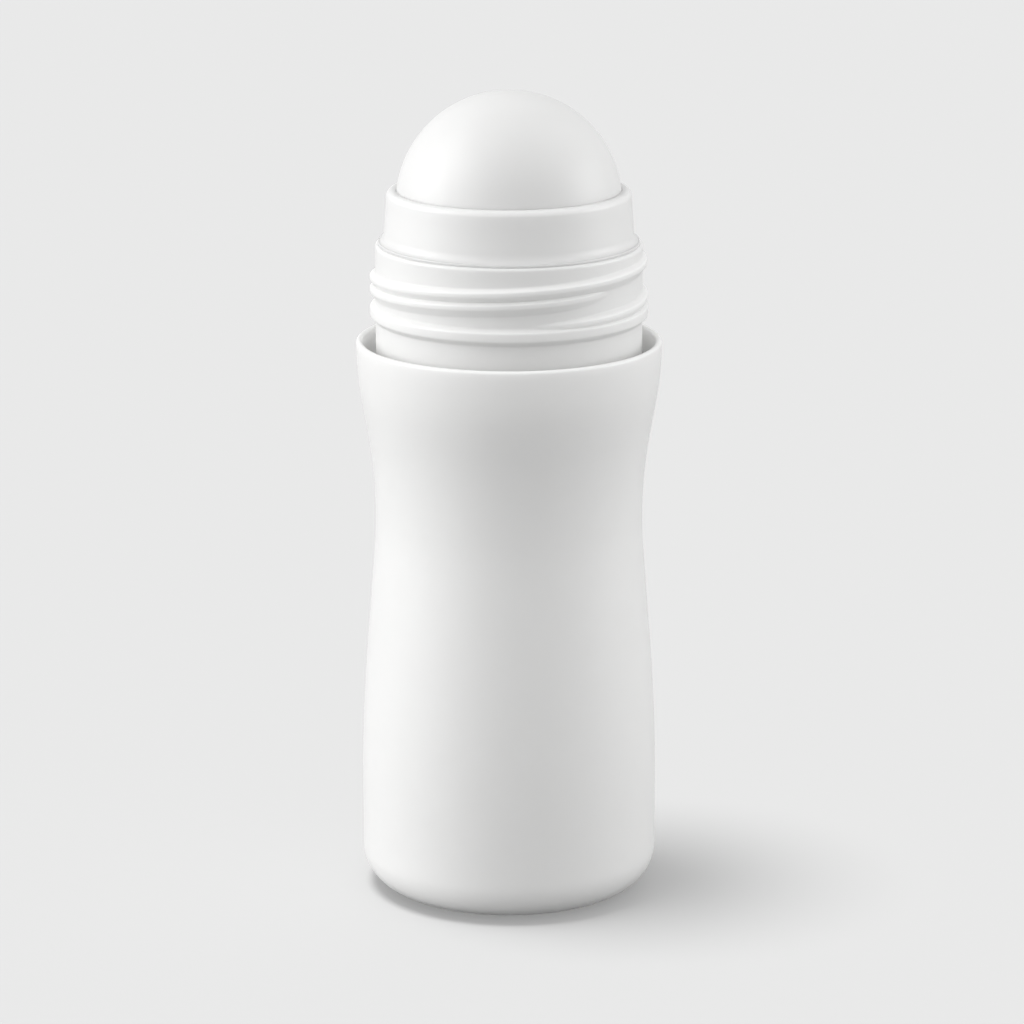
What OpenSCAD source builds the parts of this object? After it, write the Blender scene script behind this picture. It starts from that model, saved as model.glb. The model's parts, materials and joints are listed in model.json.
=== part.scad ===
// Roll-on deodorant without its cap: a waisted bottle with a threaded neck in a moat,
// a snap-in housing with a spherical socket, and the hollow ball that turns in it.
// Millimetres, +Z up. The origin is the centre of the ring that the bottle stands on.

/* [Ball] */
// Diameter of the ball
ball_d = 28.575; // [24:0.025:34]
// Wall of the hollow ball
ball_wall = 1.8; // [1:0.1:4]
// Radial running clearance between the ball and its socket
ball_clearance = 0.05; // [0.02:0.01:0.1]

/* [Ball housing] */
// Wall of the cup below the ball
cup_wall = 1.0; // [0.8:0.05:1.6]
// Height of the retaining lip above the ball's centre
lip_rise = 1.9; // [1:0.1:4]
// Wall of the lip, outside the socket
lip_wall = 1.1; // [0.8:0.05:1.3]
// Radius that rounds the outer edge of the lip
lip_round = 0.7; // [0.2:0.05:0.75]
// Height of the ball's centre above the neck's top face
seat_drop = 4.95; // [3.5:0.05:8]
// How much wider the collar is at its foot than at the lip
collar_draft = 0.3; // [0:0.05:0.5]
// Height of the flared foot of the collar, its rim included
flare_h = 1.65; // [0.8:0.05:2.4]
// Height of the flange's upright rim
flange_edge = 0.35; // [0.2:0.05:0.7]
// Length of the plug skirt below the flange
skirt_l = 6.5; // [4:0.1:9]
// Wall of the plug skirt
skirt_wall = 0.9; // [0.6:0.05:1.1]
// Diameter of the drain opening below the ball
drain_d = 16; // [8:0.5:20]
// Number of feed grooves in the cup
groove_count = 6; // [3:1:10]
// Width of a feed groove
groove_w = 1.6; // [0.8:0.1:2.4]
// Depth of a feed groove
groove_depth = 0.35; // [0.15:0.05:0.5]
// Distance from the ball's centre down to the top of the feed grooves
groove_drop = 3.5; // [2:0.1:6]

/* [Snap fit] */
// Radial clearance between the plug skirt and the neck bore
plug_clearance = 0.06; // [0.03:0.01:0.15]
// Distance from the neck's top face down to the middle of the snap bead
snap_drop = 3.4; // [2.4:0.1:3.8]
// Height of the snap bead above the skirt's wall
snap_h = 0.3; // [0.15:0.05:0.45]
// Width of the snap bead where it meets the skirt
snap_w = 1.5; // [1:0.1:1.8]

/* [Neck] */
// Wall of the neck outside the bore
neck_wall = 1.48; // [1.2:0.02:2.2]
// Height of the neck's top face above the rim
neck_rise = 12.35; // [12:0.05:18]
// Radius that rounds the neck's outer top edge
neck_round = 0.4; // [0.1:0.05:0.7]
// Chamfer at the mouth of the bore
mouth_chamfer = 0.3; // [0.1:0.05:0.5]

/* [Thread] */
// Rise of the thread in one turn
thread_lead = 4.6; // [4:0.1:6]
// Height of the ridges above the neck
thread_h = 0.7; // [0.3:0.05:1.1]
// Width of a ridge at its root
ridge_base = 2.1; // [1.4:0.1:2.2]
// Width of a ridge at its crest
ridge_crest = 0.8; // [0.4:0.1:1.2]
// Distance from the neck's top face down to the middle of the first ridge
thread_drop = 2.3; // [1.8:0.1:3]
// Turns of the long ridge
long_turns = 1.3; // [0.8:0.05:1.5]
// Turns of the short ridge, half a lead below the long one
short_turns = 0.85; // [0.5:0.05:1]
// Direction in which the long ridge starts, counter-clockwise from +X
long_start = 22.5; // [-180:7.5:180]
// Direction in which the short ridge starts
short_start = -37.5; // [-180:7.5:180]
// Distance from the neck's top face down to the middle of the stop bead
stop_drop = 8.65; // [8:0.05:10]

/* [Body] */
// Height of the rim's top edge above the standing plane
rim_z = 72.2; // [62:0.1:90]
// Wall of the rim around the moat
rim_wall = 0.8; // [0.6:0.05:1.2]
// Width of the moat between the neck and the top of the rim
moat_gap = 1.7; // [1.3:0.05:3]
// Depth of the moat below the rim's top edge
moat_depth = 4.2; // [3:0.1:5.5]
// How much narrower the moat is at its floor
moat_draft = 0.2; // [0:0.05:0.4]
// Diameter of the waist
waist_d = 34.1; // [33.5:0.1:40]
// Height of the waist
waist_z = 48.9; // [40:0.1:54]
// Diameter of the belly
belly_d = 37.9; // [34:0.1:44]
// Height at which the belly begins to narrow
belly_z = 14.8; // [10:0.1:24]
// How long the belly keeps its width on the way to the waist
belly_hold = 0.415; // [0.2:0.005:0.6]
// How long the waist keeps its width on the way down
waist_hold_low = 0.165; // [0.1:0.005:0.5]
// How long the waist keeps its width on the way up
waist_hold_high = 0.505; // [0.2:0.005:0.6]
// How long the rim keeps its width on the way to the waist
rim_hold = 0.375; // [0.2:0.005:0.6]
// Wall of the body
body_wall = 1.2; // [0.8:0.05:1.4]
// Inside radius where the shoulder meets the side
shoulder_round = 2; // [0.5:0.1:2.2]

/* [Foot] */
// Radius of the rounded edge at the foot
foot_fillet = 5.2; // [3:0.1:6.5]
// Width of the flat ring that the bottle stands on
foot_ring = 1.5; // [0.8:0.1:3]
// Depth of the recess under the base
recess_h = 1.8; // [1:0.1:3]
// Width of the slope from the ring up into the recess
recess_slope = 1.2; // [0.6:0.1:2]
// Height of the dome in the middle of the recess
recess_dome = 0.6; // [0.2:0.1:0.9]
// Wall of the base
base_wall = 1.6; // [1:0.1:3]

/* [Hidden] */
$fn = 96;
curve_steps = 26;
arc_steps = 10;
band_faces = 48;
band_lift = 0.02;
band_margin = 0.5;
band_depth = 0.6;
ridge_bite = 0.4;
fade_turn = 40;
fade_floor = 0.15;
cut_margin = 1;

ball_r = ball_d / 2;
socket_r = ball_r + ball_clearance;
plug_r = socket_r + cup_wall;
bore_r = plug_r + plug_clearance;
neck_r = bore_r + neck_wall;
moat_r = neck_r + moat_gap;
rim_r = moat_r + rim_wall;
belly_r = belly_d / 2;
waist_r = waist_d / 2;

neck_z = rim_z + neck_rise;
moat_z = rim_z - moat_depth;
ball_z = neck_z + seat_drop;
shoulder_z = moat_z - body_wall;
floor_z = recess_h + base_wall;
flange_r = neck_r - neck_round;
band_step = 360 / band_faces;
stop_z = neck_z - stop_drop;

// Points of a circular arc from angle a0 to a1
function arc(centre, r, a0, a1, steps = arc_steps) =
    [for (i = [0:steps]) let (a = a0 + (a1 - a0) * i / steps) centre + r * [cos(a), sin(a)]];

// One point of a cubic curve through four control values
function cubic(a, b, c, d, t) =
    pow(1 - t, 3) * a + 3 * pow(1 - t, 2) * t * b + 3 * (1 - t) * pow(t, 2) * c + pow(t, 3) * d;

// Side curve between two heights, upright at both ends, as [radius, height] points
function side(low, high, hold_low, hold_high) =
    let (rise = high[1] - low[1])
    [for (i = [0:curve_steps])
        let (t = i / curve_steps)
        [cubic(low[0], low[0], high[0], high[0], t),
         cubic(low[1], low[1] + hold_low * rise, high[1] - hold_high * rise, high[1], t)]];

// The body's side from the foot's fillet to the rim, drawn in by an inset
function body_side(inset) =
    let (waist = [waist_r - inset, waist_z], top = [rim_r - inset, rim_z - rim_wall / 2])
    concat(side([belly_r - inset, belly_z], waist, belly_hold, waist_hold_low),
           side(waist, top, waist_hold_high, rim_hold));

// Radius of the body's inside at a height
function inside_r(z) = lookup(z, [for (p = body_side(body_wall)) [p[1], p[0]]]);

// Section of a ridge, around the middle of its root: the root lies in the wall, the crest stands out
function ridge_section() =
    let (root = ridge_base / 2, knee = (root + ridge_crest) / 2, crest = ridge_crest / 2)
    [[-ridge_bite, -root], [0, -root], [0.75 * thread_h, -knee], [thread_h, -crest],
     [thread_h, crest], [0.75 * thread_h, knee], [0, root], [-ridge_bite, root]];

// Groove in the bore that the snap bead clicks into
function snap_groove(z) =
    let (h = snap_h + plug_clearance, w = snap_w + 4 * plug_clearance)
    [[bore_r, z + w / 2], [bore_r + h, z + w / 4], [bore_r + h, z - w / 4], [bore_r, z - w / 2]];

// Underside of the base, from its centre out to the standing ring
function base_outline() =
    let (ring_out = belly_r - foot_fillet, ring_in = ring_out - foot_ring,
         dome_r = ring_in - recess_slope, bend_r = (dome_r * dome_r / recess_dome + recess_dome) / 2,
         bend_a = asin(dome_r / bend_r))
    concat(arc([0, recess_h - bend_r], bend_r, 90, 90 - bend_a), [[ring_in, 0]]);

// Rim, moat, neck and the mouth of the bore
function top_outline() =
    let (rim_mid = rim_r - rim_wall / 2, floor_r = (moat_gap - moat_draft) / 2)
    concat(arc([rim_mid, rim_z - rim_wall / 2], rim_wall / 2, 0, 180),
           arc([neck_r + floor_r, moat_z + floor_r], floor_r, 0, -180),
           arc([neck_r - neck_round, neck_z - neck_round], neck_round, 0, 90),
           [[bore_r + mouth_chamfer, neck_z], [bore_r, neck_z - mouth_chamfer]]);

// Inside of the bottle, from the bore down to the middle of the floor
function inside_outline() =
    let (corner_z = shoulder_z - shoulder_round, corner_r = inside_r(corner_z),
         fillet = foot_fillet - body_wall,
         wall_side = [for (p = body_side(body_wall)) if (p[1] < corner_z) p])
    concat(snap_groove(neck_z - snap_drop),
           [[bore_r, shoulder_z]],
           arc([corner_r - shoulder_round, corner_z], shoulder_round, 90, 0),
           [for (i = [len(wall_side) - 1:-1:0]) wall_side[i]],
           arc([belly_r - body_wall - fillet, floor_z + fillet], fillet, 0, -90),
           [[0, floor_z]]);

// Outline of half the bottle's section
function bottle_outline() =
    concat(base_outline(),
           arc([belly_r - foot_fillet, foot_fillet], foot_fillet, -90, 0),
           body_side(0),
           top_outline(),
           inside_outline());

// Flat-sided band around the neck, a face per step, that the ridges stand on
module neck_band() {
    corner_r = (neck_r + band_lift) / cos(band_step / 2);
    low = stop_z - ridge_base / 2 - band_margin;
    high = neck_z - neck_round - band_depth / 2;
    translate([0, 0, low])
    linear_extrude(height = high - low)
    difference() {
        polygon([for (i = [0:band_faces - 1]) corner_r * [cos(i * band_step), sin(i * band_step)]]);
        circle(r = neck_r - band_depth);
    }
}

// Ridge that runs clockwise from its start, a section at each corner of the band.
// A closed ridge is a level ring; an open one falls by its lead and sinks into the wall at both ends.
module ridge(top_z, start, steps, lead, closed = false) {
    section = ridge_section();
    count = len(section);
    rows = closed ? steps : steps + 1;
    points = [for (i = [0:rows - 1])
        let (down = band_step * i, edge = min(i, steps - i) * band_step / fade_turn,
             grow = closed ? 1 : fade_floor + (1 - fade_floor) * sin(90 * min(1, edge)))
        for (p = section)
            let (r = neck_r - ridge_bite + (p[0] + ridge_bite) * grow)
            [r * cos(start - down), r * sin(start - down), top_z - lead * down / 360 + p[1]]];
    sides = [for (i = [0:steps - 1], j = [0:count - 1])
        let (a = i * count + j, b = i * count + (j + 1) % count,
             c = (i + 1) % rows * count + j, d = (i + 1) % rows * count + (j + 1) % count)
        each [[a, d, b], [a, c, d]]];
    first = [for (j = [0:count - 1]) j];
    last = [for (j = [count - 1:-1:0]) steps * count + j];
    polyhedron(points, closed ? sides : concat(sides, [first, last]));
}

// Long and short ridge, half a lead apart, and the level stop bead below them
module thread() {
    neck_band();
    ridge(neck_z - thread_drop, long_start, round(long_turns * band_faces), thread_lead);
    ridge(neck_z - thread_drop - thread_lead / 2, short_start, round(short_turns * band_faces), thread_lead);
    ridge(stop_z, 0, band_faces, 0, closed = true);
}

// Bottle: body, moat and rim, neck and thread moulded as one shell
module bottle() {
    color([0.93, 0.93, 0.92])
    union() {
        rotate_extrude() polygon(bottle_outline());
        thread();
    }
}

// Outline of the housing's section without the socket, around the ball's centre
function housing_outline() =
    let (lip_r = socket_r + lip_wall, foot_r = lip_r + collar_draft, flange_z = -seat_drop,
         flare_z = flange_z + flare_h, edge_z = flange_z + flange_edge,
         reach = flange_r - foot_r, drop = flare_z - edge_z,
         snap_z = flange_z - snap_drop, skirt_z = flange_z - skirt_l,
         cup_r = socket_r + cup_wall, skirt_in = plug_r - skirt_wall,
         split_z = -sqrt(cup_r * cup_r - skirt_in * skirt_in),
         drain_a = asin(drain_d / 2 / cup_r))
    concat([[0, lip_rise]],
           arc([lip_r - lip_round, lip_rise - lip_round], lip_round, 90, 0),
           [[foot_r, flare_z]],
           [for (i = [1:arc_steps])
               let (a = 90 * i / arc_steps)
               [foot_r + reach * (1 - cos(a)), flare_z - drop * sin(a)]],
           [[flange_r, flange_z], [plug_r, flange_z]],
           [[plug_r, snap_z + snap_w / 2], [plug_r + snap_h, snap_z + snap_w / 4],
            [plug_r + snap_h, snap_z - snap_w / 4], [plug_r, snap_z - snap_w / 2]],
           [[plug_r, skirt_z + skirt_wall / 2], [plug_r - skirt_wall / 2, skirt_z], [skirt_in, skirt_z]],
           arc([0, 0], cup_r, asin(split_z / cup_r), drain_a - 90, 2 * arc_steps),
           [[0, -cup_r * cos(drain_a)]]);

// Housing: lip, collar and flange, plug skirt, and the cup with its drain and feed grooves
module ball_housing() {
    groove_l = socket_r + groove_depth;
    color([0.95, 0.95, 0.94])
    translate([0, 0, ball_z])
    difference() {
        rotate_extrude() polygon(housing_outline());
        sphere(r = socket_r);
        translate([0, 0, -ball_d]) cylinder(r = drain_d / 2, h = ball_d);
        intersection() {
            sphere(r = groove_l);
            for (i = [0:groove_count - 1])
                rotate([0, 0, 360 * i / groove_count])
                translate([0, -groove_w / 2, -groove_l - cut_margin])
                cube([groove_l, groove_w, groove_l + cut_margin - groove_drop]);
        }
    }
}

// Ball: one hollow sphere, turning in the housing's socket
module roll_ball() {
    color([0.97, 0.97, 0.96])
    translate([0, 0, ball_z])
    difference() {
        sphere(r = ball_r);
        sphere(r = ball_r - ball_wall);
    }
}

bottle();
ball_housing();
roll_ball();
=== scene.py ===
"""Looks of an uncapped roll-on deodorant: waisted white bottle, snap-in ball housing and hollow ball.

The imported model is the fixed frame. Each piece is turned on a lathe outline that repeats the solid's form
with finer curves, and is dressed in a moulded plastic finish. Sizes are millimetres, meshes are metres.
"""

import json
import logging
import math
from dataclasses import dataclass
from enum import Enum
from typing import Callable

import bpy
import numpy as np
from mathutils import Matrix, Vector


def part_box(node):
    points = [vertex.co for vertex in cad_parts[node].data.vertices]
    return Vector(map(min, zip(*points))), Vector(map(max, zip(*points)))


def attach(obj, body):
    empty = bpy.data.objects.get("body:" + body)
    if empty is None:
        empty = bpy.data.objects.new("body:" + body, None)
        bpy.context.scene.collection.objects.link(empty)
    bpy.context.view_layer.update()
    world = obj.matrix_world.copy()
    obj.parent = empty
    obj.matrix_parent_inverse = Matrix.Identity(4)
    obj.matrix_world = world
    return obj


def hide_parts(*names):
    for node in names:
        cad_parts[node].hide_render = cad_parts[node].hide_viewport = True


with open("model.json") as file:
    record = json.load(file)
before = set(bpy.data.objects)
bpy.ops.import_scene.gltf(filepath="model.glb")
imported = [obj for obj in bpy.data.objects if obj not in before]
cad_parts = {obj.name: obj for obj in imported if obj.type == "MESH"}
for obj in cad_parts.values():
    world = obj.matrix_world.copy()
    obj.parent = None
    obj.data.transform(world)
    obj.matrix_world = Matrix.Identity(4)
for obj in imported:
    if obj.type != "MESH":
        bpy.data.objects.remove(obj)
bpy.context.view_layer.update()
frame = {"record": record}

MM = 0.001
NO_LENGTH = 1e-6
ON_SURFACE = 1e-4
FINE = 2.0
COARSE = 12.0
LOG = logging.getLogger("roll_on")

Point = tuple[float, float]
Relief = Callable[[np.ndarray, np.ndarray, np.ndarray], np.ndarray]


class Body(Enum):
    """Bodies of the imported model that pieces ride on."""

    PACK = "pack"
    BALL = "ball"


class Node(Enum):
    """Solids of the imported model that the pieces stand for."""

    BOTTLE = "bottle"
    HOUSING = "ball_housing"
    BALL = "roll_ball"


class Reach(Enum):
    """What a lamp lights."""

    ALL = "all"
    PIECES = "pieces"
    BOTTLE = "bottle"
    FLOOR = "floor"


def arc(centre: Point, radius: float, start: float, end: float, step: float = 6.0) -> list[Point]:
    """Points along a circular arc.

    Args:
        centre: Middle of the arc, as radius and height.
        radius: Radius of the arc in millimetres.
        start: Direction of its first point in degrees.
        end: Direction of its last point in degrees.
        step: Largest angle between two points in degrees.

    Returns:
        The points, both ends included.
    """
    count = max(2, math.ceil(abs(end - start) / step))
    angles = (math.radians(start + (end - start) * i / count) for i in range(count + 1))
    return [(centre[0] + radius * math.cos(a), centre[1] + radius * math.sin(a)) for a in angles]


def side(low: Point, high: Point, hold_low: float, hold_high: float, steps: int) -> list[Point]:
    """Cubic side curve between two heights that is upright at both ends.

    Args:
        low: Lower end, as radius and height.
        high: Upper end.
        hold_low: Share of the rise over which the lower end keeps its width.
        hold_high: Share of the rise over which the upper end keeps its width.
        steps: Number of pieces that the curve is cut into.

    Returns:
        The points, both ends included.
    """
    rise = high[1] - low[1]
    controls = (low[1], low[1] + hold_low * rise, high[1] - hold_high * rise, high[1])
    points = []
    for i in range(steps + 1):
        t = i / steps
        weights = ((1 - t) ** 3, 3 * (1 - t) ** 2 * t, 3 * (1 - t) * t ** 2, t ** 3)
        radius = low[0] * (weights[0] + weights[1]) + high[0] * (weights[2] + weights[3])
        points.append((radius, sum(w * c for w, c in zip(weights, controls))))
    return points


def rounded(corners: list[tuple[float, float, float]], step: float = 15.0) -> list[Point]:
    """Outline through corners, each cut back to an arc of its own radius.

    Args:
        corners: Radius, height and rounding of each corner. A rounding of 0 keeps the corner sharp.
        step: Largest angle between two points of a rounding in degrees.

    Returns:
        The points of the outline.
    """
    points: list[Point] = []
    last = len(corners) - 1
    for i, (r, z, size) in enumerate(corners):
        here = np.array([r, z])
        if size == 0 or i in (0, last):
            points.append((r, z))
            continue
        back = np.array(corners[i - 1][:2]) - here
        ahead = np.array(corners[i + 1][:2]) - here
        back /= np.linalg.norm(back)
        ahead /= np.linalg.norm(ahead)
        half = math.acos(np.clip(back @ ahead, -1.0, 1.0)) / 2
        reach = size / math.tan(half)
        turn = math.degrees(math.pi - 2 * half)
        middle = here + (back + ahead) / np.linalg.norm(back + ahead) * size / math.sin(half)
        first = here + back * reach - middle
        sign = math.copysign(1.0, back[1] * ahead[0] - back[0] * ahead[1])
        count = max(1, math.ceil(turn / step))
        for k in range(count + 1):
            a = math.radians(sign * turn * k / count)
            points.append((middle[0] + first[0] * math.cos(a) - first[1] * math.sin(a),
                           middle[1] + first[0] * math.sin(a) + first[1] * math.cos(a)))
    return points


def distinct(points: list[Point]) -> list[Point]:
    """Outline without the points that repeat the one after them."""
    return [p for p, ahead in zip(points, points[1:]) if math.dist(p, ahead) > NO_LENGTH] + points[-1:]


def filled(points: list[Point], spacing: float) -> list[Point]:
    """Outline with points added along its long stretches.

    Args:
        points: The outline.
        spacing: Largest distance between two points in millimetres.

    Returns:
        The outline with no two points equal and none further apart than the spacing.
    """
    result = [points[0]]
    for a, b in zip(points, points[1:]):
        length = math.dist(a, b)
        if length < NO_LENGTH:
            continue
        count = math.ceil(length / spacing)
        result += [(a[0] + (b[0] - a[0]) * k / count, a[1] + (b[1] - a[1]) * k / count)
                   for k in range(1, count + 1)]
    return result


@dataclass
class Lathe:
    """Solid of revolution with an optional relief on its surface.

    The outline runs from the axis, out and up the outside, and back to the axis along the inside.
    """

    name: str
    outline: list[Point]
    segments: int
    relief: Relief | None = None

    def build(self) -> bpy.types.Object:
        """Turns the outline into a closed smooth mesh in the scene.

        Returns:
            The new object.
        """
        profile = np.array(self.outline)
        on_axis = profile[:, 0] < NO_LENGTH
        angles = np.arange(self.segments) * 2 * math.pi / self.segments
        radius, turn = np.meshgrid(profile[:, 0], angles, indexing="ij")
        height = np.repeat(profile[:, 1:2], self.segments, axis=1)
        if self.relief:
            radius, height = self.relief(radius, turn, height)
        corners = np.stack([radius * np.cos(turn), radius * np.sin(turn), height], axis=-1) * MM
        rows: list[np.ndarray] = []
        points: list[np.ndarray] = []
        total = 0
        for i, centre in enumerate(on_axis):
            row = corners[i, :1] if centre else corners[i]
            rows.append(total + np.arange(len(row)))
            points.append(row)
            total += len(row)
        mesh = bpy.data.meshes.new(self.name)
        mesh.from_pydata(np.concatenate(points).tolist(), [], self.faces(rows))
        mesh.polygons.foreach_set("use_smooth", np.ones(len(mesh.polygons), dtype=bool))
        mesh.update()
        made = bpy.data.objects.new(self.name, mesh)
        bpy.context.scene.collection.objects.link(made)
        return made

    def faces(self, rows: list[np.ndarray]) -> list[list[int]]:
        """Faces between neighbouring rows, as fans where a row is one point on the axis.

        Args:
            rows: Vertex numbers of each row.

        Returns:
            The faces, turned outward.
        """
        result: list[list[int]] = []
        for low, high in zip(rows, rows[1:]):
            low_next = np.roll(low, -1)
            high_next = np.roll(high, -1)
            if len(low) == 1:
                result += [[int(low[0]), int(b), int(a)] for a, b in zip(high, high_next)]
            elif len(high) == 1:
                result += [[int(a), int(b), int(high[0])] for a, b in zip(low, low_next)]
            else:
                result += np.stack([low, low_next, high_next, high], axis=1).tolist()
        return result


class Nodes:
    """Shorthand for adding and joining shader nodes in one tree."""

    def __init__(self, tree: bpy.types.NodeTree) -> None:
        """Keeps the tree that nodes are added to."""
        self.tree = tree

    def add(self, kind: str, **settings: object) -> bpy.types.Node:
        """Adds a node and sets its properties.

        Args:
            kind: Blender's name of the node type, without the ShaderNode prefix.
            settings: Properties of the node and their values.

        Returns:
            The node.
        """
        node = self.tree.nodes.new(kind if kind.startswith("Node") else "ShaderNode" + kind)
        for key, value in settings.items():
            setattr(node, key, value)
        return node

    def join(self, source: bpy.types.NodeSocket, target: bpy.types.NodeSocket) -> None:
        """Links an output to an input."""
        self.tree.links.new(source, target)

    def maths(self, operation: str, *values: object) -> bpy.types.NodeSocket:
        """Adds a Math node.

        Args:
            operation: Name of the operation.
            values: Its inputs, each a number or an output to link.

        Returns:
            The node's output.
        """
        node = self.add("Math", operation=operation)
        for socket, value in zip(node.inputs, values):
            if isinstance(value, bpy.types.NodeSocket):
                self.join(value, socket)
            else:
                socket.default_value = value
        return node.outputs[0]

    def noise(self, place: bpy.types.NodeSocket, scale: object, detail: float,
              roughness: float = 0.5) -> bpy.types.NodeSocket:
        """Adds a noise texture.

        Args:
            place: Coordinates that it is read at.
            scale: Features per metre, a number or an output to link.
            detail: Number of finer octaves.
            roughness: Strength of the finer octaves.

        Returns:
            The texture's value.
        """
        node = self.add("TexNoise")
        self.join(place, node.inputs["Vector"])
        if isinstance(scale, bpy.types.NodeSocket):
            self.join(scale, node.inputs["Scale"])
        else:
            node.inputs["Scale"].default_value = scale
        node.inputs["Detail"].default_value = detail
        node.inputs["Roughness"].default_value = roughness
        return node.outputs["Fac"]


@dataclass(frozen=True)
class SkinGroup:
    """Surface of moulded plastic: fine mould grain, slow waviness, and faint cloudiness of tone and gloss.

    Its textures have so many features a metre.
    """

    name: str = "moulded_skin"
    waves: float = 90.0
    clouds: float = 260.0
    cloud_roughness: float = 0.6
    smears: float = 1500.0
    smear_roughness: float = 0.65
    smear_share: float = 0.6

    def get(self) -> bpy.types.NodeTree:
        """Finds the group, or builds it on first use.

        Returns:
            The shader node group.
        """
        return bpy.data.node_groups.get(self.name) or self.build()

    def build(self) -> bpy.types.NodeTree:
        """Builds the group.

        Returns:
            The shader node group.
        """
        tree = bpy.data.node_groups.new(self.name, "ShaderNodeTree")
        face = tree.interface
        for name, value in (("Grain Size", 0.0001), ("Grain Depth", 0.0), ("Wave Depth", 0.0),
                            ("Gloss Middle", 0.4), ("Gloss Spread", 0.05), ("Tone Spread", 0.01)):
            face.new_socket(name=name, in_out="INPUT", socket_type="NodeSocketFloat").default_value = value
        face.new_socket(name="Tone", in_out="INPUT", socket_type="NodeSocketColor")
        face.new_socket(name="Colour", in_out="OUTPUT", socket_type="NodeSocketColor")
        face.new_socket(name="Gloss", in_out="OUTPUT", socket_type="NodeSocketFloat")
        face.new_socket(name="Height", in_out="OUTPUT", socket_type="NodeSocketFloat")
        n = Nodes(tree)
        given = n.add("NodeGroupInput")
        result = n.add("NodeGroupOutput")
        place = n.add("TexCoord").outputs["Object"]
        grain = n.noise(place, n.maths("DIVIDE", 1.0, given.outputs["Grain Size"]), 2.0)
        wave = n.noise(place, self.waves, 1.0)
        cloud = n.noise(place, self.clouds, 4.0, self.cloud_roughness)
        smear = n.noise(place, self.smears, 3.0, self.smear_roughness)
        height = n.maths("MULTIPLY", n.maths("SUBTRACT", grain, 0.5), given.outputs["Grain Depth"])
        swell = n.maths("MULTIPLY", n.maths("SUBTRACT", wave, 0.5), given.outputs["Wave Depth"])
        n.join(n.maths("ADD", height, swell), result.inputs["Height"])
        mixed = n.maths("MULTIPLY_ADD", smear, self.smear_share, cloud)
        mixed = n.maths("SUBTRACT", mixed, (1 + self.smear_share) / 2)
        n.join(n.maths("MULTIPLY_ADD", mixed, given.outputs["Gloss Spread"], given.outputs["Gloss Middle"]),
               result.inputs["Gloss"])
        bright = n.maths("MULTIPLY_ADD", n.maths("SUBTRACT", cloud, 0.5), given.outputs["Tone Spread"], 1.0)
        tint = n.add("VectorMath", operation="SCALE")
        n.join(given.outputs["Tone"], tint.inputs[0])
        n.join(bright, tint.inputs["Scale"])
        n.join(tint.outputs[0], result.inputs["Colour"])
        return tree


@dataclass(frozen=True)
class PlasticFinish:
    """White moulded plastic with its own tone, gloss and surface. Its depths are millimetres."""

    name: str
    tone: tuple[float, float, float]
    roughness: float
    roughness_spread: float = 0.05
    tone_spread: float = 0.02
    grain: float = 0.12
    grain_depth: float = 0.002
    wave_depth: float = 0.004
    depth_of_glow: float = 2.0
    glow: float = 0.6
    glow_tint: tuple[float, float, float] = (1.0, 1.0, 1.0)
    index: float = 1.49

    def build(self) -> bpy.types.Material:
        """Builds the material.

        Returns:
            The material.
        """
        material = bpy.data.materials.new(self.name)
        material.use_nodes = True
        tree = material.node_tree
        tree.nodes.clear()
        n = Nodes(tree)
        skin = n.add("Group")
        skin.node_tree = SkinGroup().get()
        for socket, value in (("Grain Size", self.grain * MM), ("Grain Depth", self.grain_depth * MM),
                              ("Wave Depth", self.wave_depth * MM), ("Gloss Middle", self.roughness),
                              ("Gloss Spread", self.roughness_spread), ("Tone Spread", self.tone_spread),
                              ("Tone", (*self.tone, 1.0))):
            skin.inputs[socket].default_value = value
        shader = n.add("BsdfPrincipled")
        bump = n.add("Bump")
        bump.inputs["Distance"].default_value = 1.0
        n.join(skin.outputs["Height"], bump.inputs["Height"])
        n.join(skin.outputs["Colour"], shader.inputs["Base Color"])
        n.join(skin.outputs["Gloss"], shader.inputs["Roughness"])
        n.join(bump.outputs["Normal"], shader.inputs["Normal"])
        shader.inputs["IOR"].default_value = self.index
        shader.inputs["Subsurface Weight"].default_value = self.glow
        shader.inputs["Subsurface Scale"].default_value = self.depth_of_glow * MM
        shader.inputs["Subsurface Radius"].default_value = self.glow_tint
        n.join(shader.outputs["BSDF"], n.add("OutputMaterial").inputs["Surface"])
        return material


def place_piece(piece: bpy.types.Object, node: Node, body: Body, material: bpy.types.Material) -> None:
    """Dresses a piece and ties it to the frame.

    Args:
        piece: The object that was built.
        node: The solid that it stands for.
        body: The body that it moves with.
        material: Its finish.
    """
    piece.data.materials.append(material)
    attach(piece, body.value)
    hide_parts(node.value)
    LOG.info("%s: %d faces, %s, rides on %s", piece.name, len(piece.data.polygons), material.name, body.value)


@dataclass(frozen=True)
class ModelSizes:
    """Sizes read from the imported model."""

    neck_top: float
    rim_r: float
    ball_r: float
    ball_z: float
    crest_r: float

    @classmethod
    def read(cls) -> "ModelSizes":
        """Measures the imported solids.

        Returns:
            The sizes in millimetres.
        """
        bottle_low, bottle_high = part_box(Node.BOTTLE.value)
        ball_low, ball_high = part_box(Node.BALL.value)
        thread = next(m for m in frame["record"]["mounts"] if m["name"] == "cap_thread")
        return cls(neck_top=bottle_high[2] / MM,
                   rim_r=(bottle_high[0] - bottle_low[0]) / 2 / MM,
                   ball_r=(ball_high[2] - ball_low[2]) / 2 / MM,
                   ball_z=(ball_high[2] + ball_low[2]) / 2 / MM,
                   crest_r=thread["dims"]["r_mm"])


@dataclass(frozen=True)
class Ridge:
    """Raised ridge round the neck. A ridge with no turns is a level ring.

    Its section rises over the upper flank, holds its height over the crest and falls over the lower flank.
    """

    top_drop: float
    start: float = 0.0
    turns: float = 0.0
    crest_top: float = 0.5
    crest_low: float = -0.1
    upper_flank: float = 0.35
    lower_flank: float = 0.95


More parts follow.
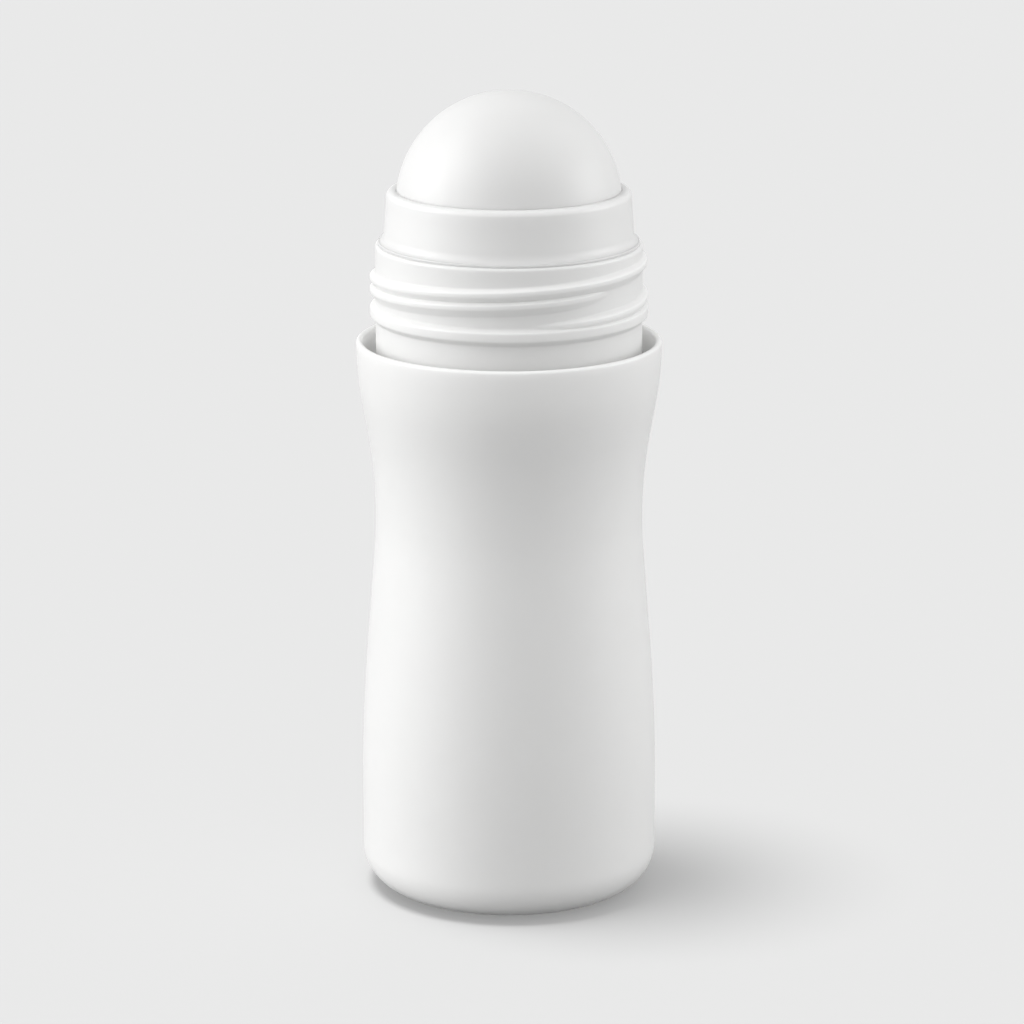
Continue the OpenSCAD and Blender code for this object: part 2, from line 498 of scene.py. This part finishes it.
@dataclass
class Bottle:
    """Bottle moulded as one shell: foot, waisted body, rim, moat and threaded neck."""

    sizes: ModelSizes
    rim_wall: float = 0.8
    rim_z: float = 72.2
    moat_gap: float = 1.7
    moat_depth: float = 4.2
    moat_draft: float = 0.2
    waist: Point = (17.05, 48.9)
    belly: Point = (18.95, 14.8)
    belly_hold: float = 0.415
    waist_holds: tuple[float, float] = (0.165, 0.505)
    rim_hold: float = 0.375
    body_wall: float = 1.2
    shoulder_round: float = 2.0
    foot_fillet: float = 5.2
    foot_ring: float = 1.5
    recess_h: float = 1.8
    recess_slope: float = 1.2
    recess_dome: float = 0.6
    base_wall: float = 1.6
    foot_round: float = 0.4
    neck_wall: float = 1.48
    neck_round: float = 0.4
    mouth_bevel: float = 0.3
    mouth_round: float = 0.1
    thread_h: float = 0.7
    thread_lead: float = 4.6
    ridge_edge: float = 0.22
    ridge_bite: float = 0.4
    fade_turn: float = 40.0
    fade_floor: float = 0.15
    ridges: tuple[Ridge, ...] = (Ridge(1.85, 22.5, 1.3), Ridge(4.2, -37.5, 0.85),
                                 Ridge(8.6, crest_top=0.65, crest_low=-0.5, lower_flank=0.6))
    segments: int = 288
    side_steps: int = 28
    spacing: float = 1.4
    moat_spacing: float = 0.5
    ridge_spacing: float = 0.09
    hidden_spacing: float = 3.0
    finish: PlasticFinish = PlasticFinish("bottle_plastic", (0.80, 0.80, 0.793), 0.38)

    @property
    def neck_r(self) -> float:
        """Radius of the neck between the ridges."""
        return self.sizes.crest_r - self.thread_h

    def wall(self, inset: float, steps: int) -> list[Point]:
        """Side of the body from the belly to the rim.

        Args:
            inset: Distance that it is drawn in by.
            steps: Number of pieces that each of its two curves is cut into.

        Returns:
            The points from the bottom up.
        """
        waist = (self.waist[0] - inset, self.waist[1])
        belly = (self.belly[0] - inset, self.belly[1])
        top = (self.sizes.rim_r - inset, self.rim_z - self.rim_wall / 2)
        return (side(belly, waist, self.belly_hold, self.waist_holds[0], steps)
                + side(waist, top, self.waist_holds[1], self.rim_hold, steps)[1:])

    def underside(self) -> list[Point]:
        """Recess under the base and the ring that the bottle stands on."""
        ring_out = self.belly[0] - self.foot_fillet
        ring_in = ring_out - self.foot_ring
        dome_r = ring_in - self.recess_slope
        bend = (dome_r ** 2 / self.recess_dome + self.recess_dome) / 2
        swing = math.degrees(math.asin(dome_r / bend))
        dome = arc((0.0, self.recess_h - bend), bend, 90, 90 - swing, FINE)
        low = dome[-1][1]
        edge = rounded([(*dome[-2], 0.0), (dome_r, low, self.foot_round), (ring_in, 0.0, self.foot_round),
                        (ring_out, 0.0, 0.0)])
        return filled(dome[:-1] + edge, self.spacing)

    def outside(self) -> list[Point]:
        """Foot, body and rim, down to the moat's floor."""
        foot = arc((self.belly[0] - self.foot_fillet, self.foot_fillet), self.foot_fillet, -90, 0)
        body = filled(foot[1:] + self.wall(0.0, self.side_steps), self.spacing)
        rim = arc((self.sizes.rim_r - self.rim_wall / 2, self.rim_z - self.rim_wall / 2),
                  self.rim_wall / 2, 0, 180, COARSE)
        half = (self.moat_gap - self.moat_draft) / 2
        floor = arc((self.neck_r + half, self.rim_z - self.moat_depth + half), half, 0, -180, COARSE)
        return body + filled([body[-1]] + rim[1:] + floor, self.moat_spacing)[1:]

    def neck(self) -> list[Point]:
        """Neck from the moat's floor to its top face, in rows close enough for the ridges."""
        low = self.rim_z - self.moat_depth + self.moat_gap / 2
        bead = self.ridges[-1]
        start = self.sizes.neck_top - bead.top_drop + bead.crest_low - bead.lower_flank - self.ridge_edge
        top = arc((self.neck_r - self.neck_round, self.sizes.neck_top - self.neck_round),
                  self.neck_round, 0, 90, COARSE)
        wall = filled([(self.neck_r, low), (self.neck_r, start)], self.moat_spacing)
        return wall[1:] + filled([(self.neck_r, start), top[0]], self.ridge_spacing)[1:] + top[1:]

    def inside(self) -> list[Point]:
        """Bore, shoulder, wall and floor of the inside."""
        bore = self.neck_r - self.neck_wall
        mouth = self.mouth_bevel
        shoulder_z = self.rim_z - self.moat_depth - self.body_wall
        corner_z = shoulder_z - self.shoulder_round
        walls = [p for p in self.wall(self.body_wall, self.side_steps // 2) if p[1] < corner_z][::-1]
        corner_r = walls[0][0]
        fillet = self.foot_fillet - self.body_wall
        floor_z = self.recess_h + self.base_wall
        points = rounded([(bore + 2 * mouth, self.sizes.neck_top, 0.0),
                          (bore + mouth, self.sizes.neck_top, self.mouth_round),
                          (bore, self.sizes.neck_top - mouth, self.mouth_round), (bore, shoulder_z, 0.0)])[1:]
        points += arc((corner_r - self.shoulder_round, corner_z), self.shoulder_round, 90, 0, COARSE)
        points += walls
        points += arc((self.belly[0] - self.body_wall - fillet, floor_z + fillet), fillet, 0, -90, COARSE)
        return filled(points + [(0.0, floor_z)], self.hidden_spacing)

    def outline(self) -> list[Point]:
        """Outline of half the bottle's section."""
        return distinct(self.underside() + self.outside() + self.neck() + self.inside())

    def ridge_rise(self, ridge: Ridge, offset: np.ndarray) -> np.ndarray:
        """Height of a ridge's section, its knees eased over a short way.

        Args:
            ridge: The ridge.
            offset: Distance above or below the middle of the ridge.

        Returns:
            Height above the neck.
        """
        ease = self.ridge_edge / 2
        total = np.zeros_like(offset)
        shifts = (-ease, -ease / 2, 0.0, ease / 2, ease)
        for shift in shifts:
            upper = 1 - (offset + shift - ridge.crest_top) / ridge.upper_flank
            lower = 1 + (offset + shift - ridge.crest_low) / ridge.lower_flank
            total += np.clip(np.minimum(upper, lower), 0.0, 1.0)
        return self.thread_h * total / len(shifts)

    def relief(self, radius: np.ndarray, turn: np.ndarray,
               height: np.ndarray) -> tuple[np.ndarray, np.ndarray]:
        """Raises the ridges on the neck.

        Args:
            radius: Radius of each point of the lathe's grid.
            turn: Direction of each point in radians.
            height: Height of each point.

        Returns:
            The new radii and the heights as they were.
        """
        rise = np.zeros_like(radius)
        degrees = np.degrees(turn)
        for ridge in self.ridges:
            middle = self.sizes.neck_top - ridge.top_drop
            if ridge.turns == 0:
                rise = np.maximum(rise, self.ridge_rise(ridge, height - middle))
                continue
            length = 360 * ridge.turns
            for lap in range(math.ceil(ridge.turns) + 1):
                down = (ridge.start - degrees) % 360 + 360 * lap
                edge = np.clip(np.minimum(down, length - down) / self.fade_turn, 0.0, 1.0)
                grow = self.fade_floor + (1 - self.fade_floor) * np.sin(math.pi / 2 * edge)
                bump = self.ridge_rise(ridge, height - middle + self.thread_lead * down / 360)
                bump = (bump + self.ridge_bite) * grow - self.ridge_bite
                rise = np.maximum(rise, np.where(down <= length, bump, 0.0))
        on_neck = np.isclose(radius, self.neck_r, atol=ON_SURFACE)
        return radius + np.where(on_neck, rise, 0.0), height

    def build(self) -> bpy.types.Object:
        """Builds and dresses the bottle.

        Returns:
            The object.
        """
        piece = Lathe("bottle_shell", self.outline(), self.segments, self.relief).build()
        place_piece(piece, Node.BOTTLE, Body.PACK, self.finish.build())
        return piece


@dataclass
class BallHousing:
    """Snap-in housing: lip, collar and flange, plug skirt, and the cup with its drain and feed grooves."""

    sizes: ModelSizes
    clearance: float = 0.05
    cup_wall: float = 1.0
    lip_rise: float = 1.9
    lip_wall: float = 1.1
    lip_round: float = 0.8
    lip_edge: float = 0.08
    seat_drop: float = 4.95
    collar_draft: float = 0.3
    flare_h: float = 1.65
    flare_turn: float = 84.0
    flange_edge: float = 0.35
    flange_gap: float = 0.4
    flange_round: float = 0.12
    flange_under: float = 0.03
    flange_land: Point = (0.3, 0.05)
    skirt_l: float = 6.5
    skirt_wall: float = 0.9
    skirt_round: float = 0.15
    snap_drop: float = 3.4
    snap_h: float = 0.3
    snap_w: float = 1.5
    snap_round: float = 0.1
    drain_r: float = 8.0
    groove_count: int = 6
    groove_w: float = 1.6
    groove_depth: float = 0.35
    groove_drop: float = 3.5
    spacing: float = 0.8
    segments: int = 320
    finish: PlasticFinish = PlasticFinish("housing_plastic", (0.80, 0.80, 0.794), 0.36, grain_depth=0.0012)

    @property
    def socket_r(self) -> float:
        """Radius of the socket that the ball turns in."""
        return self.sizes.ball_r + self.clearance

    def outline(self, neck_r: float) -> list[Point]:
        """Outline of half the housing's section, from the drain's edge round the outside to the socket.

        Args:
            neck_r: Radius of the neck that the flange sits on.

        Returns:
            The closed outline, its last point the same as its first.
        """
        lip_r = self.socket_r + self.lip_wall
        foot_r = lip_r + self.collar_draft
        plug_r = self.socket_r + self.cup_wall
        flange_r = neck_r - self.flange_gap
        flare_z = self.flare_h - self.seat_drop
        edge_z = self.flange_edge - self.seat_drop
        snap_z = -self.seat_drop - self.snap_drop
        skirt_z = -self.seat_drop - self.skirt_l
        skirt_in = plug_r - self.skirt_wall
        reach = flange_r - foot_r
        cup_top = math.degrees(math.asin(math.sqrt(plug_r ** 2 - skirt_in ** 2) / plug_r))
        cup_low = math.degrees(math.acos(self.drain_r / plug_r))
        cup = arc((0.0, 0.0), plug_r, -cup_low, -cup_top)
        skirt = rounded([(skirt_in, cup[-1][1], 0.0), (skirt_in, skirt_z, self.skirt_round),
                         (plug_r - self.skirt_wall / 2, skirt_z, self.skirt_round),
                         (plug_r, skirt_z + self.skirt_wall / 2, self.skirt_round),
                         (plug_r, snap_z - self.snap_w / 2, self.snap_round),
                         (plug_r + self.snap_h, snap_z - self.snap_w / 4, self.snap_round),
                         (plug_r + self.snap_h, snap_z + self.snap_w / 4, self.snap_round),
                         (plug_r, snap_z + self.snap_w / 2, self.snap_round),
                         (plug_r, -self.seat_drop, 0.0)])
        land = (flange_r - self.flange_land[0], edge_z + self.flange_land[1])
        flange = rounded([(plug_r, -self.seat_drop, 0.0), (flange_r, -self.seat_drop, self.flange_under),
                          (flange_r, edge_z, self.flange_round), (*land, 0.0)])[1:-1]
        drop = flare_z - edge_z
        quarter = arc((0.0, 0.0), 1.0, self.flare_turn, 0)
        flare = [(foot_r + reach * (1 - across), flare_z - drop * down) for across, down in quarter]
        inner_r = math.sqrt(self.socket_r ** 2 - self.lip_rise ** 2)
        lip = arc((lip_r - self.lip_round, self.lip_rise - self.lip_round), self.lip_round, 0, 90)
        edge = rounded([(*lip[-1], 0.0), (inner_r, self.lip_rise, self.lip_edge),
                        (self.socket_r, 0.0, 0.0)])[1:-1]
        mouth = math.degrees(math.asin((self.lip_rise - 2 * self.lip_edge) / self.socket_r))
        socket_low = math.degrees(math.acos(self.drain_r / self.socket_r))
        socket = arc((0.0, 0.0), self.socket_r, mouth, -socket_low, FINE)
        points = filled(cup + skirt[1:] + flange + flare + lip + edge + socket + [cup[0]], self.spacing)
        return [(r, z + self.sizes.ball_z) for r, z in points]

    def relief(self, radius: np.ndarray, turn: np.ndarray,
               height: np.ndarray) -> tuple[np.ndarray, np.ndarray]:
        """Sinks the feed grooves into the socket.

        Args:
            radius: Radius of each point of the lathe's grid.
            turn: Direction of each point in radians.
            height: Height of each point.

        Returns:
            The new radii and heights.
        """
        level = height - self.sizes.ball_z
        reach = np.hypot(radius, level)
        pitch = 2 * math.pi / self.groove_count
        across = radius * np.abs(np.sin((turn + pitch / 2) % pitch - pitch / 2))
        groove = np.isclose(reach, self.socket_r, atol=ON_SURFACE) & (across < self.groove_w / 2)
        depth = np.where(groove & (level < -self.groove_drop), self.groove_depth, 0.0)
        grow = 1 + depth / reach
        return radius * grow, level * grow + self.sizes.ball_z

    def build(self, neck_r: float) -> bpy.types.Object:
        """Builds and dresses the housing.

        Args:
            neck_r: Radius of the neck that the flange sits on.

        Returns:
            The object.
        """
        piece = Lathe("ball_fitment", self.outline(neck_r), self.segments, self.relief).build()
        place_piece(piece, Node.HOUSING, Body.PACK, self.finish.build())
        return piece


@dataclass
class RollBall:
    """Hollow ball that turns in the housing."""

    sizes: ModelSizes
    wall: float = 1.8
    segments: int = 256
    inner_segments: int = 48
    finish: PlasticFinish = PlasticFinish("ball_plastic", (0.75, 0.75, 0.745), 0.42, grain_depth=0.0004,
                                          wave_depth=0.001)

    def build(self) -> bpy.types.Object:
        """Builds and dresses the ball.

        Returns:
            The object.
        """
        centre = (0.0, self.sizes.ball_z)
        outer = Lathe("ball", arc(centre, self.sizes.ball_r, -90, 90, FINE), self.segments).build()
        hollow = arc(centre, self.sizes.ball_r - self.wall, 90, -90)
        inner = Lathe("ball_inside", hollow, self.inner_segments).build()
        with bpy.context.temp_override(active_object=outer, selected_editable_objects=[outer, inner]):
            bpy.ops.object.join()
        place_piece(outer, Node.BALL, Body.BALL, self.finish.build())
        return outer


@dataclass(frozen=True)
class Lamp:
    """Large soft lamp far away. Its azimuth is 0 at the camera's side and 90 to the right."""

    name: str
    azimuth: float
    elevation: float
    spread: float
    strength: float
    reach: Reach = Reach.PIECES
    shadows: bool = True

    def build(self, lit: dict[Reach, bpy.types.Collection]) -> bpy.types.Object:
        """Adds the lamp to the scene.

        Args:
            lit: The objects that each reach lights, where it leaves some out.

        Returns:
            The lamp's object.
        """
        data = bpy.data.lights.new(self.name, "SUN")
        data.angle = math.radians(self.spread)
        data.energy = self.strength * math.pi
        lamp = bpy.data.objects.new(self.name, data)
        if self.reach in lit:
            lamp.light_linking.receiver_collection = lit[self.reach]
        if not self.shadows:
            lamp.light_linking.blocker_collection = lit[Reach.FLOOR]
        lamp.rotation_euler = (math.radians(90 - self.elevation), 0.0, math.radians(self.azimuth))
        bpy.context.scene.collection.objects.link(lamp)
        return lamp


@dataclass
class Studio:
    """Plain pale floor, soft lamps, even surrounding light and the camera."""

    floor_half: float = 4.0
    floor_gap: float = 0.01
    floor_tone: float = 0.353
    floor_bounce: float = 0.58
    world_tone: tuple[float, float, float] = (1.0, 1.0, 1.0)
    world_strength: float = 0.60
    backdrop: float = 0.82
    camera_place: tuple[float, float, float] = (0.38, -550.0, 193.8)
    camera_dip: float = 14.71
    lens: float = 156.1
    sensor: float = 36.0
    clip: tuple[float, float] = (0.01, 50.0)
    lamps: tuple[Lamp, ...] = (Lamp("left_high", -90.0, 35.0, 40.0, 0.27),
                               Lamp("left_low", -90.0, 8.0, 40.0, 0.40),
                               Lamp("front_left_high", -60.0, 35.0, 40.0, 0.14),
                               Lamp("front_left_low", -60.0, 8.0, 40.0, 0.16),
                               Lamp("right_high", 90.0, 35.0, 70.0, 0.27),
                               Lamp("right_low", 90.0, 8.0, 40.0, 0.32),
                               Lamp("moat_fill", 0.0, 90.0, 40.0, 0.10, Reach.BOTTLE),
                               Lamp("floor_left", -90.0, 78.0, 22.0, 0.95, Reach.FLOOR),
                               Lamp("floor_wide", 0.0, 90.0, 100.0, 0.12, Reach.FLOOR),
                               Lamp("floor_even", 0.0, 90.0, 24.0, 0.66, Reach.FLOOR, shadows=False))

    def build(self, pieces: list[bpy.types.Object]) -> None:
        """Builds the whole studio.

        Args:
            pieces: The object's pieces, which some lamps light alone.
        """
        scene = bpy.context.scene
        scene.view_settings.view_transform = "Standard"
        floor = self.floor()
        self.world()
        lit = {Reach.PIECES: self.group("lit_pieces", pieces),
               Reach.BOTTLE: self.group("lit_bottle", pieces[:1]),
               Reach.FLOOR: self.group("lit_floor", [floor])}
        for lamp in self.lamps:
            lamp.build(lit)
        self.camera()
        LOG.info("studio: %d lamps and an even surround", len(self.lamps))

    def group(self, name: str, members: list[bpy.types.Object]) -> bpy.types.Collection:
        """Gathers objects that a lamp lights.

        Args:
            name: Name of the collection.
            members: The objects.

        Returns:
            The collection.
        """
        made = bpy.data.collections.new(name)
        for member in members:
            made.objects.link(member)
        return made

    def floor(self) -> bpy.types.Object:
        """Adds the floor as one wide sheet just under the object."""
        half = self.floor_half
        mesh = bpy.data.meshes.new("studio_floor")
        mesh.from_pydata([(-half, -half, 0.0), (half, -half, 0.0), (half, half, 0.0), (-half, half, 0.0)],
                         [], [(0, 1, 2, 3)])
        floor = bpy.data.objects.new("studio_floor", mesh)
        floor.location.z = -self.floor_gap * MM
        bpy.context.scene.collection.objects.link(floor)
        material = bpy.data.materials.new("studio_floor")
        material.use_nodes = True
        shader = material.node_tree.nodes["Principled BSDF"]
        n = Nodes(material.node_tree)
        seen = n.add("LightPath").outputs["Is Camera Ray"]
        share = n.maths("MULTIPLY_ADD", seen, 1 - self.floor_bounce, self.floor_bounce)
        n.join(n.maths("MULTIPLY", share, self.floor_tone), shader.inputs["Base Color"])
        shader.inputs["Roughness"].default_value = 1.0
        shader.inputs["Specular IOR Level"].default_value = 0.0
        mesh.materials.append(material)
        return floor

    def world(self) -> None:
        """Sets the even surrounding light, with the floor's brightness where the camera looks past it."""
        world = bpy.data.worlds.new("studio")
        world.use_nodes = True
        bpy.context.scene.world = world
        world.node_tree.nodes.clear()
        n = Nodes(world.node_tree)
        light = n.add("Background")
        light.inputs["Color"].default_value = (*self.world_tone, 1.0)
        light.inputs["Strength"].default_value = self.world_strength
        seen = n.add("Background")
        seen.inputs["Color"].default_value = (self.backdrop,) * 3 + (1.0,)
        mix = n.add("MixShader")
        n.join(n.add("LightPath").outputs["Is Camera Ray"], mix.inputs[0])
        n.join(light.outputs[0], mix.inputs[1])
        n.join(seen.outputs[0], mix.inputs[2])
        n.join(mix.outputs[0], n.add("OutputWorld").inputs["Surface"])

    def camera(self) -> None:
        """Adds the camera at the photograph's viewing angle."""
        data = bpy.data.cameras.new("camera")
        data.lens = self.lens
        data.sensor_width = self.sensor
        data.clip_start, data.clip_end = self.clip
        camera = bpy.data.objects.new("camera", data)
        camera.location = [c * MM for c in self.camera_place]
        camera.rotation_euler = (math.radians(90 - self.camera_dip), 0.0, 0.0)
        bpy.context.scene.collection.objects.link(camera)
        bpy.context.scene.camera = camera


def main() -> None:
    logging.basicConfig(level=logging.INFO, format="%(message)s")
    sizes = ModelSizes.read()
    bottle = Bottle(sizes)
    pieces = [bottle.build(), BallHousing(sizes).build(bottle.neck_r), RollBall(sizes).build()]
    Studio().build(pieces)


if __name__ == "__main__":
    main()
